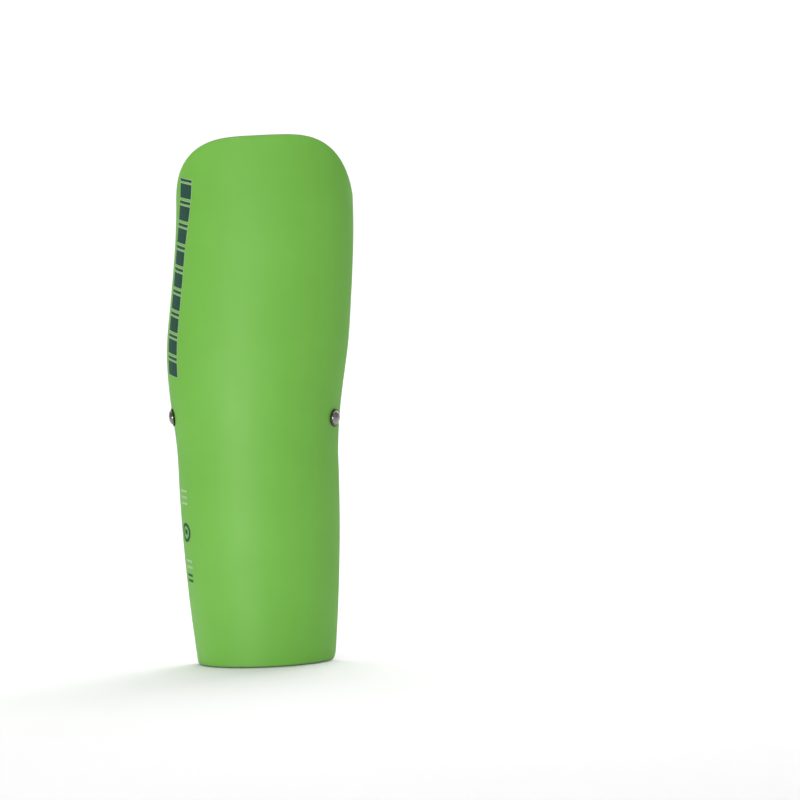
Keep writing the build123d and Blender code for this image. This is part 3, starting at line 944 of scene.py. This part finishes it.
def make_webbing():
    """Five lengths of webbing, which meet away from the fold lines and run across them."""
    webbing = woven_webbing()
    lengths = (
        ("lateral_webbing", TAB_START, SEAM_LATERAL, 0.0, ("lateral_strap_tab", "lateral_lead"),
         ("guard", "strap_loop"), (TWIST_START,), (TWIST_END,)),
        ("medial_webbing", 180 - TAB_START, SEAM_MEDIAL, 0.0, ("medial_strap_tab", "medial_lead"),
         ("guard", "strap_loop"), (180 - TWIST_START,), (180 - TWIST_END,)),
        ("long_webbing", SEAM_LATERAL, SEAM_TAIL, long_lift, ("long_strap",),
         ("strap_loop", "long_strap_body"), (LEAD_END - 7, 1.0), (LEAD_END + 7, 1.0)),
        ("tail_webbing", SEAM_TAIL, TAIL_END, long_lift, ("strap_tail",),
         ("long_strap_body", "tail_body"), (TAIL_START - 6, 4.0), (TAIL_START + 6, 4.0)),
        ("short_webbing", SEAM_MEDIAL, SHORT_END, 0.0, ("short_strap",),
         ("strap_loop", "short_strap_body"), (180 - LEAD_END + 6,), (180 - LEAD_END - 6,)),
    )
    for name, first, last, lift, nodes, bodies, start, end in lengths:
        band = ribbon(name, first, last, lift, webbing, rib=CORD_HEIGHT)
        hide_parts(*nodes)
        hinge_point(*start)
        hinge_point(*end)
        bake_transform(band)


def make_closure():
    """Pile on the short strap, hooks under the tail, and the grip on its end."""
    pile = loop_pile("loop_pile", *PILE_SHADES, 1100.0, 0.7)
    hooks = loop_pile("hook_tape", *HOOK_SHADES, 800.0, 1.0)
    pile_band = ribbon("pile_patch", *PILE_RANGE, LIFT_PILE + PATCH_THICKNESS / 2, pile,
                       thickness=PATCH_LOOK, wide=PATCH_HALF_WIDTH)
    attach(pile_band, "short_strap_body")
    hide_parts("short_strap_pile")
    hook_band = ribbon("hook_patch", *HOOK_RANGE, LIFT_HOOK + PATCH_THICKNESS / 2, hooks,
                       thickness=PATCH_LOOK, wide=PATCH_HALF_WIDTH)
    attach(hook_band, "tail_body")
    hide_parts("tail_hook_patch")
    grip = ribbon("pull_grip", TAIL_END - GRIP_OVERLAP, PULL_END, LIFT_TAIL + WEBBING / 2,
                  soft_grip(), thickness=GRIP_THICKNESS, ridge=BAR_HEIGHT, corner=GRIP_CORNER,
                  step=0.4)
    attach(grip, "tail_body")
    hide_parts("pull_tab")


def make_strap_stitches():
    """Box seams that hold the hook and pile patches."""
    seam_thread = thread("strap_thread", *STRAP_THREAD)
    tail_seam = box_seam(*TAIL_SEAM, LIFT_TAIL + WEBBING / 2, 1)
    short_seam = box_seam(*SHORT_SEAM, 0, -1)
    add_extra("tail_stitches", tail_seam, seam_thread, "tail_body")
    add_extra("short_strap_stitches", short_seam, seam_thread, "short_strap_body")


# Liner

PAD_OUT, PAD_IN, PAD_MARGIN = 6.05, 11.6, 4.3
PAD_PITCH = 62.0
PAD_CHEVRON = 0.32
PAD_COLUMN = 23.0
PAD_SIDE_SCALE = 0.86
CHANNEL_HALF, CHANNEL_DEPTH, CHANNEL_FADE = 1.7, 1.0, 3.2
PAD_RISE_LIMIT, PAD_RISE_GAIN = 5.5, 1.3
PAD_FLAT_RIM = 5.0
POCKET_RADIUS, POCKET_FADE, POCKET_SINK = 14.5, 4.0, 2.4
TAPE_OUT, TAPE_IN = 5.1, 12.9
TAPE_SEAM = 7.6
HOLE_SCALE = 0.42
TAPE_RIB_PITCH = 1.3
# The knit's hole colour is near black, painted as shade in its holes.
KNIT_DARK, KNIT_LIGHT, KNIT_HOLE_SHADE = (0.020, 0.021, 0.024), (0.058, 0.061, 0.068), (0.005, 0.005, 0.006)
TAPE_DARK, TAPE_LIGHT = (0.003, 0.003, 0.0035), (0.024, 0.025, 0.027)
CHANNEL_THREAD = (0.030, 0.031, 0.034), (0.11, 0.115, 0.125)
GREEN_THREAD = (0.10, 0.22, 0.05), (0.17, 0.36, 0.085)
BRUSHED_SHADES = (0.012, 0.012, 0.013), (0.05, 0.051, 0.054)


def channel_distance(flat):
    """Distance in millimetres from the nearest sewn channel of the liner."""
    side, z = flat[..., 0] * PAD_SIDE_SCALE, flat[..., 1]
    upright = np.abs(np.abs(side) - PAD_COLUMN)
    centre_shift = np.where(np.abs(side) < PAD_COLUMN, PAD_PITCH / 2, 0.0)
    level = z + PAD_CHEVRON * np.abs(side) + centre_shift
    across = np.abs((level + PAD_PITCH / 2) % PAD_PITCH - PAD_PITCH / 2)
    return np.minimum(upright, across / math.hypot(1, PAD_CHEVRON))


def inflate(points, faces, pinned, frames=20, pressure=15.0):
    """Cloth pressure lifts the free parts of a pinned sheet. Returns its points, in metres."""
    sheet = new_object("lining_sheet", points, faces, None)
    group = sheet.vertex_groups.new(name="pinned")
    for index, weight in enumerate(pinned):
        if weight > 0:
            group.add([index], float(weight), "REPLACE")
    cloth = sheet.modifiers.new("cloth", "CLOTH")
    settings = cloth.settings
    settings.quality = 6
    settings.mass = 0.25
    settings.tension_stiffness = settings.compression_stiffness = 12.0
    settings.shear_stiffness = 6.0
    settings.shrink_min = -0.02
    settings.bending_stiffness = 0.4
    settings.vertex_group_mass = "pinned"
    settings.use_pressure = True
    settings.uniform_pressure_force = pressure
    settings.effector_weights.gravity = 0.0
    cloth.collision_settings.use_collision = False
    cloth.point_cache.frame_start, cloth.point_cache.frame_end = 1, frames
    for number in range(1, frames + 1):
        bpy.context.scene.frame_set(number)
    shown = sheet.evaluated_get(bpy.context.evaluated_depsgraph_get())
    result = np.zeros(len(sheet.data.vertices) * 3)
    shown.data.vertices.foreach_get("co", result)
    bpy.data.objects.remove(sheet)
    bpy.context.scene.frame_set(1)
    return result.reshape(-1, 3)


def padded_face(turns, heights, inset, from_rim):
    """Inner face of the liner: pads swelled between sewn channels."""
    base = wall_points(turns, heights, inset)
    inward = -wall_normals(turns, heights)
    distance = channel_distance(flat_map(turns, heights))
    free = smooth((distance - CHANNEL_HALF) / 3.0) * smooth((from_rim - PAD_FLAT_RIM) / 5.0)
    columns, rows = turns.shape
    index = np.arange(columns * rows).reshape(columns, rows)
    quads = grid_quads(index)[:, [0, 3, 2, 1]]
    pinned = np.where(free > 0.02, 0.0, 1.0).ravel()
    swelled = inflate(base.reshape(-1, 3), quads.tolist(), pinned)
    moved = (swelled / MM - base.reshape(-1, 3)) * inward.reshape(-1, 3)
    rise = np.maximum(moved.sum(1).reshape(turns.shape), 0)
    rise = PAD_RISE_LIMIT * np.tanh(PAD_RISE_GAIN * rise / PAD_RISE_LIMIT)
    dip = CHANNEL_DEPTH * smooth(1 - distance / CHANNEL_FADE) * smooth((from_rim - 4.0) / 4.0)
    return base + inward * (rise - dip)[..., None]


def pocketed_face(turns, heights, inset, _):
    """Outer face of the liner, sunk where the rivet posts stand."""
    points = wall_points(turns, heights, inset)
    sink = np.zeros(turns.shape)
    for side in (LATERAL, MEDIAL):
        centre, _ = rivet_axis(side)
        away = np.linalg.norm(points - centre, axis=-1)
        sink = np.maximum(sink, POCKET_SINK * smooth((POCKET_RADIUS - away) / POCKET_FADE))
    return points - wall_normals(turns, heights) * sink[..., None]


def lining_knit():
    """Dark knit with rows of small holes, painted near black as shade."""
    n = Nodes("lining_knit")
    flat = n.attribute("flat")
    cells = n.cells(n.stretch(flat, (1.0, 0.87, 1.0)), HOLE_SCALE, 0.06)
    hole = n.span(cells, 0.20, 0.34, 1.0, 0.0)
    knit = n.noise(n.stretch(flat, (2.2, 3.4, 1)), 1.0, 3.0, 0.6)
    haze = n.noise(n.place(), 22.0, 3.0)
    shade = n.math("ADD", n.span(knit, 0.3, 0.7, 0.15, 0.75), n.span(haze, 0.3, 0.7, -0.1, 0.2))
    colour = n.mix(shade, KNIT_DARK, KNIT_LIGHT)
    # Painted shade: the holes are painted near black.
    colour = n.mix(hole, colour, KNIT_HOLE_SHADE)
    height = n.math("SUBTRACT", n.math("MULTIPLY", knit, 0.5), hole)
    return n.finish(colour, n.span(knit, 0.2, 0.8, 0.78, 0.92), n.bump(height, 0.6, 0.0005),
                    Sheen_Weight=0.12, Sheen_Roughness=0.5, Specular_IOR_Level=0.3)


def ribbed_tape():
    """Black grosgrain edge tape, with painted shade between its ribs."""
    n = Nodes("ribbed_tape")
    run = n.split(n.attribute("flat"))[0]
    rib = sine_ridges(n, run, TAPE_RIB_PITCH)
    lint = n.noise(n.place(), 500.0, 4.0, 0.65)
    # Painted shade: darker between the ribs, varied further by lint.
    shade = n.math("MULTIPLY", rib, n.span(lint, 0.25, 0.75, 0.4, 1.0))
    colour = n.mix(shade, TAPE_DARK, TAPE_LIGHT)
    return n.finish(colour, n.span(lint, 0.2, 0.8, 0.65, 0.85), n.bump(rib, 0.6, 0.0003),
                    Sheen_Weight=0.06, Specular_IOR_Level=0.3)


def rim_places(inset, margin):
    """Turns and heights of a sheet grid, and the grid places once round its rim."""
    turns, heights, _ = wall_grid(inset, margin)
    return turns, heights, rim_order(*turns.shape)


def rim_band(name, profile, material):
    """Closed tape round a rim. profile lists (inset, margin) once round its section."""
    points, flats, faces = [], [], []
    for place, (inset, margin) in enumerate(profile):
        turns, heights, order = rim_places(inset, margin)
        loop = np.array([wall_points(turns[p], heights[p], inset) for p in order])
        total = len(loop)
        if place == 0:
            steps = np.linalg.norm(np.roll(loop, -1, 0) - loop, axis=1)
            run = np.concatenate([[0], np.cumsum(steps)[:-1]])
        points.append(loop)
        flats.append(np.stack([run, np.full(total, float(place)), np.zeros(total)], -1))
    rings = len(profile)
    for ring in range(rings):
        a, b = ring * total, ((ring + 1) % rings) * total
        faces += ring_faces(list(range(a, a + total)), list(range(b, b + total)))
    band = new_object(name, np.concatenate(points), faces, material)
    set_attribute(band, "flat", np.concatenate(flats))
    return band


def pad_turn(side, z):
    """Turn of a place given by its sideways distance on the pad pattern."""
    return np.degrees(side / PAD_SIDE_SCALE / (0.5 * (half_width(z) + front_depth(z))))


def rim_height(turn, inset):
    """Height of the liner's top rim at a signed turn."""
    side = LATERAL if turn < 0 else MEDIAL
    turns, tops = corner_columns(side, inset, PAD_MARGIN)
    return float(np.interp(abs(turn), turns[::-1], tops[::-1]))


def channel_lines():
    """Sewn lines of the pad pattern: lists of (turn, z), clear of the edge tape."""
    lines = []
    for sign in (LATERAL, MEDIAL):
        z = np.linspace(0, HEIGHT, 160)
        lines.append((pad_turn(sign * PAD_COLUMN, z), z))
        for row in range(-1, 9):
            for low, high, shift in ((0.0, PAD_COLUMN, 0.5), (PAD_COLUMN, 66.0, 0.0)):
                side = np.linspace(low, high, 30)
                z = (row - shift) * PAD_PITCH - PAD_CHEVRON * side
                lines.append((pad_turn(sign * side, z), z))
    clear = []
    for turn, z in lines:
        keep = [13 < zz < rim_height(tt, PAD_IN) - 9 and abs(tt) < EDGE_TURN - 15
                for tt, zz in zip(turn, z)]
        if sum(keep) > 4:
            clear.append((turn[keep], z[keep]))
    return clear


def make_channel_stitches():
    """Stitches along the sewn channels of the pads."""
    parts = []
    for turn, z in channel_lines():
        places = wall_points(turn, z, PAD_IN - CHANNEL_DEPTH + 0.45)
        parts += stitch_line(places, -wall_normals(turn, z), length=2.4, gap=1.1, thick=0.45)
    channel_thread = thread("channel_thread", *CHANNEL_THREAD)
    add_extra("liner_channel_stitches", parts, channel_thread, "guard")


def make_liner_pad():
    """Foam pad with its lining, swelled between the sewn channels."""
    profile = rounded_rim(PAD_OUT, PAD_IN, PAD_MARGIN, 1.5)
    pad = closed_sheet("liner_pad", profile, lining_knit(), (pocketed_face, padded_face))
    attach(pad, "guard")
    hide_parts("liner_core", "liner_lining")


def make_edge_tape():
    """Tape folded round the liner's rim. Its section is a list of (inset, margin)."""
    outer_side = [(TAPE_OUT + 0.15, 9.5), (TAPE_OUT, 9.0), (TAPE_OUT, 4.2)]
    rounded_edge = [(5.5, 3.1), (6.4, 2.6), (9.0, 2.5), (11.4, 2.6), (12.4, 3.1)]
    inner_side = [(TAPE_IN, 4.2), (TAPE_IN, 9.0), (TAPE_IN - 0.3, 9.6), (TAPE_IN - 1.0, 9.5)]
    inside = [(TAPE_IN - 1.0, 4.6), (9.0, 3.6), (TAPE_OUT + 0.9, 4.6), (TAPE_OUT + 0.9, 9.4)]
    profile = outer_side + rounded_edge + inner_side + inside
    tape = rim_band("liner_edge_tape", profile, ribbed_tape())
    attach(tape, "guard")
    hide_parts("liner_binding")


def make_tape_stitches():
    """Green stitches once round the inner side of the edge tape."""
    turns, heights, order = rim_places(TAPE_IN, TAPE_SEAM)
    order = order + order[:1]
    places = np.array([wall_points(turns[p], heights[p], TAPE_IN + 0.05) for p in order])
    normals = np.array([-wall_normals(turns[p], heights[p]) for p in order])
    parts = stitch_line(places, normals, length=2.9, gap=1.3, thick=0.5)
    green_thread = thread("liner_thread", *GREEN_THREAD)
    add_extra("liner_tape_stitches", parts, green_thread, "guard")


def paint_hidden_nodes():
    """Materials of the CAD nodes between the shell and the liner."""
    paint("liner_backing", loop_pile("brushed_cloth", *BRUSHED_SHADES, 700.0, 0.6))
    paint("shell_hook_discs", loop_pile("hook_discs", *HOOK_SHADES, 800.0, 1.0))


add_camera()
add_stage()
add_lights()
make_shell()
make_rivets()
make_prints()
make_webbing()
make_closure()
make_strap_stitches()
make_channel_stitches()
make_liner_pad()
make_edge_tape()
make_tape_stitches()
paint_hidden_nodes()
